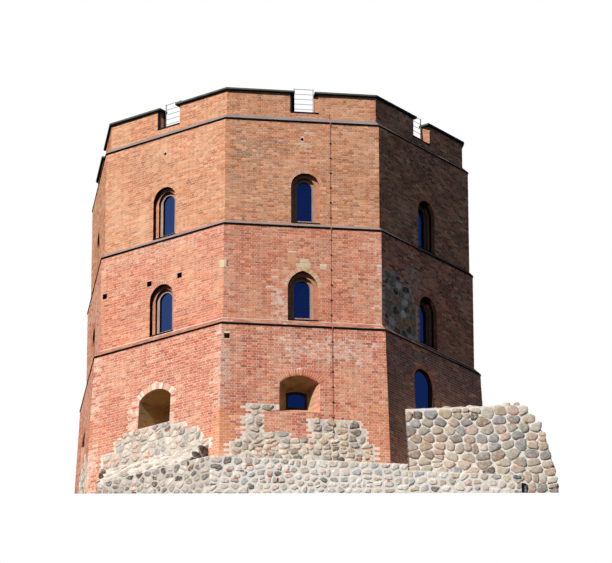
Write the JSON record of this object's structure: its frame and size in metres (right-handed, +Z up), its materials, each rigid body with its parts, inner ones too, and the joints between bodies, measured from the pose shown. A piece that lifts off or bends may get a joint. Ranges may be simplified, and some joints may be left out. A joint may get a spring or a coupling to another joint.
{
  "type": "castle tower",
  "caption": "Octagonal brick castle tower of three stepped storeys with arched windows, sloped ledges and a crenellated parapet, on a rubble plinth beside a broken wall stub.",
  "frame": {"origin": "on the tower's axis at ground level", "axes": "+Z up, front face towards -Y, +X to the right of the front, where the wall stub stands"},
  "size_m": [17.735, 16.935, 17.55],
  "materials": {
    "lower_brick": "weathered red brick in pale mortar, patched",
    "middle_brick": "weathered red brick in pale mortar",
    "upper_brick": "orange-tan brick, repointed",
    "ledge_sheet": "smooth grey-pink sloped ledge with a dark drip edge",
    "coping_sheet": "dark sheet metal",
    "iron": "dark painted iron",
    "floor_stone": "plain slab",
    "window_frame": "painted beige, dull",
    "window_glass": "dark blue reflecting pane",
    "rubble": "mixed field stones in thick mortar"
  },
  "bodies": {
    "root": {"lower_wall_front": "lower_brick", "lower_wall_front_right": "lower_brick", "lower_wall_right": "lower_brick", "lower_wall_back_right": "lower_brick", "lower_wall_back": "lower_brick", "lower_wall_back_left": "lower_brick", "lower_wall_left": "lower_brick", "lower_wall_front_left": "lower_brick", "middle_wall_front": "middle_brick", "middle_wall_front_right": "middle_brick", "middle_wall_right": "middle_brick", "middle_wall_back_right": "middle_brick", "middle_wall_back": "middle_brick", "middle_wall_back_left": "middle_brick", "middle_wall_left": "middle_brick", "middle_wall_front_left": "middle_brick", "upper_wall_front": "upper_brick", "upper_wall_front_right": "upper_brick", "upper_wall_right": "upper_brick", "upper_wall_back_right": "upper_brick", "upper_wall_back": "upper_brick", "upper_wall_back_left": "upper_brick", "upper_wall_left": "upper_brick", "upper_wall_front_left": "upper_brick", "parapet_wall": "upper_brick", "merlons": "upper_brick", "lower_ledge": "ledge_sheet", "middle_ledge": "ledge_sheet", "upper_ledge": "ledge_sheet", "merlon_copings": "coping_sheet", "window_sills": "coping_sheet", "gap_railings": "iron", "lightning_conductor": "iron", "ground_floor": "floor_stone", "middle_floor": "floor_stone", "upper_floor": "floor_stone", "roof_deck": "floor_stone", "lower_window_frames": "window_frame", "middle_window_frames": "window_frame", "upper_window_frames": "window_frame", "lower_window_glass": "window_glass", "middle_window_glass": "window_glass", "upper_window_glass": "window_glass", "rubble_plinth": "rubble", "low_rubble_wall": "rubble", "curtain_wall_stub": "rubble"}
  },
  "joints": []
}
